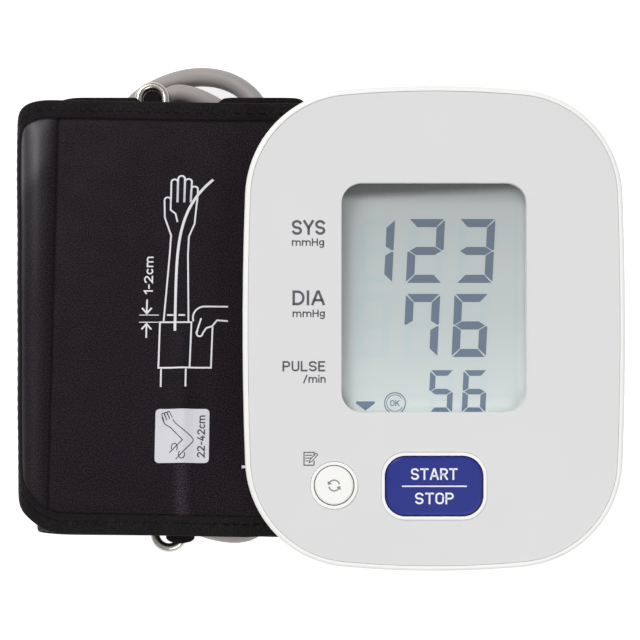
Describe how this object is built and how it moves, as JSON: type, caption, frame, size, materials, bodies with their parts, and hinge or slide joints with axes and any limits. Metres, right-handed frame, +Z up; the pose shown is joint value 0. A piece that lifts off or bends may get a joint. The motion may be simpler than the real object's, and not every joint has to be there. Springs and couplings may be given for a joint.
{
  "type": "blood pressure monitor",
  "caption": "Table-top upper arm blood pressure monitor with a tilted face, display window and press keys, beside its rolled cuff with coiled air hose.",
  "frame": {"origin": "bottom centre of the monitor and its rolled cuff, on the table", "axes": "+X to the user's right, from the cuff to the monitor; +Y away from the user; +Z up"},
  "size_m": [0.1754, 0.16, 0.0674],
  "materials": {
    "white_plastic": "fine satin moulding",
    "panel_grey": "smooth printed sheet",
    "key_blue": "smooth with white lettering",
    "clear_lens": "clear",
    "display": "liquid crystal cell",
    "black_plastic": "moulded",
    "light_plastic": "moulded",
    "board_green": "solder mask",
    "steel": "bright",
    "magnet": "ferrite",
    "copper": "enamelled wire",
    "silicone": "soft",
    "black_rubber": "soft",
    "cell": "printed sleeve",
    "nylon": "coated nylon weave",
    "lining": "brushed loop lining",
    "binding": "woven tape",
    "hook": "hook tape",
    "bladder": "thin sheet",
    "ring_metal": "nickel plated",
    "hose_grey": "satin tube"
  },
  "bodies": {
    "monitor": {"front_cover": "white_plastic", "rear_case": "white_plastic", "face_panel": "panel_grey", "start_switch": "black_plastic", "sync_switch": "black_plastic", "display_lens": "clear_lens", "lcd_glass": "display", "lcd_frame": "black_plastic", "lcd_connector": "silicone", "main_board": "board_green", "control_chip": "black_plastic", "radio_module": "steel", "board_screws": "steel", "case_screws": "steel", "rubber_feet": "black_rubber", "battery_1": "cell", "battery_2": "cell", "battery_3": "cell", "battery_4": "cell", "contacts_front": "steel", "contacts_back": "steel", "pump_head": "black_plastic", "pump_diaphragm": "silicone", "motor_can": "steel", "motor_endcap": "black_plastic", "magnet_ring": "magnet", "pump_cradle": "black_rubber", "air_manifold": "light_plastic", "pump_tube": "silicone", "jack_tube": "silicone", "pressure_sensor": "black_plastic", "sensor_tube": "silicone", "valve_frame": "steel", "valve_coil": "copper", "air_jack": "light_plastic", "dc_jack": "black_plastic"},
    "start_button": {"start_button": "key_blue", "start_plunger": "black_plastic"},
    "sync_button": {"sync_button": "white_plastic", "sync_plunger": "black_plastic"},
    "battery_cover": {"battery_cover": "white_plastic"},
    "motor_rotor": {"motor_rotor": "steel"},
    "valve_plunger": {"valve_plunger": "steel"},
    "cuff": {"cuff_outer_cloth": "nylon", "cuff_inner_cloth": "lining", "air_bladder": "bladder", "edge_binding": "binding", "hook_patch": "hook", "ring_tab": "nylon", "hose_fitting": "black_plastic", "air_hose": "hose_grey", "air_plug": "hose_grey"},
    "d_ring": {"d_ring": "ring_metal"}
  },
  "joints": [
    {"name": "start_press", "type": "slide", "parent": "monitor", "child": "start_button", "axis": [0, 0.2079, -0.9781], "range_m": [0, 0.0006], "stiffness_N_per_m": 1500},
    {"name": "sync_press", "type": "slide", "parent": "monitor", "child": "sync_button", "axis": [0, 0.2079, -0.9781], "range_m": [0, 0.0006], "stiffness_N_per_m": 1500},
    {"name": "battery_cover_hinge", "type": "hinge", "parent": "monitor", "child": "battery_cover", "pos_m": [0.03424, 0.03029, 0.0031], "axis": [1, 0, 0], "range_deg": [0, 80]},
    {"name": "motor_spin", "type": "hinge", "parent": "monitor", "child": "motor_rotor", "pos_m": [0.04624, 0.02058, 0.033], "axis": [1, 0, 0], "continuous": true},
    {"name": "valve_shut", "type": "slide", "parent": "monitor", "child": "valve_plunger", "axis": [0, 0.9781, 0.2079], "range_m": [0, 0.0007], "stiffness_N_per_m": 800},
    {"name": "cuff_slide", "type": "slide", "parent": "monitor", "child": "cuff", "axis": [-1, 0, 0], "range_m": [0, 0.15]},
    {"name": "ring_turn", "type": "hinge", "parent": "cuff", "child": "d_ring", "pos_m": [-0.05043, 0.00329, 0.01405], "axis": [0.0593, -0.9982, 0], "range_deg": [0, 12]}
  ]
}
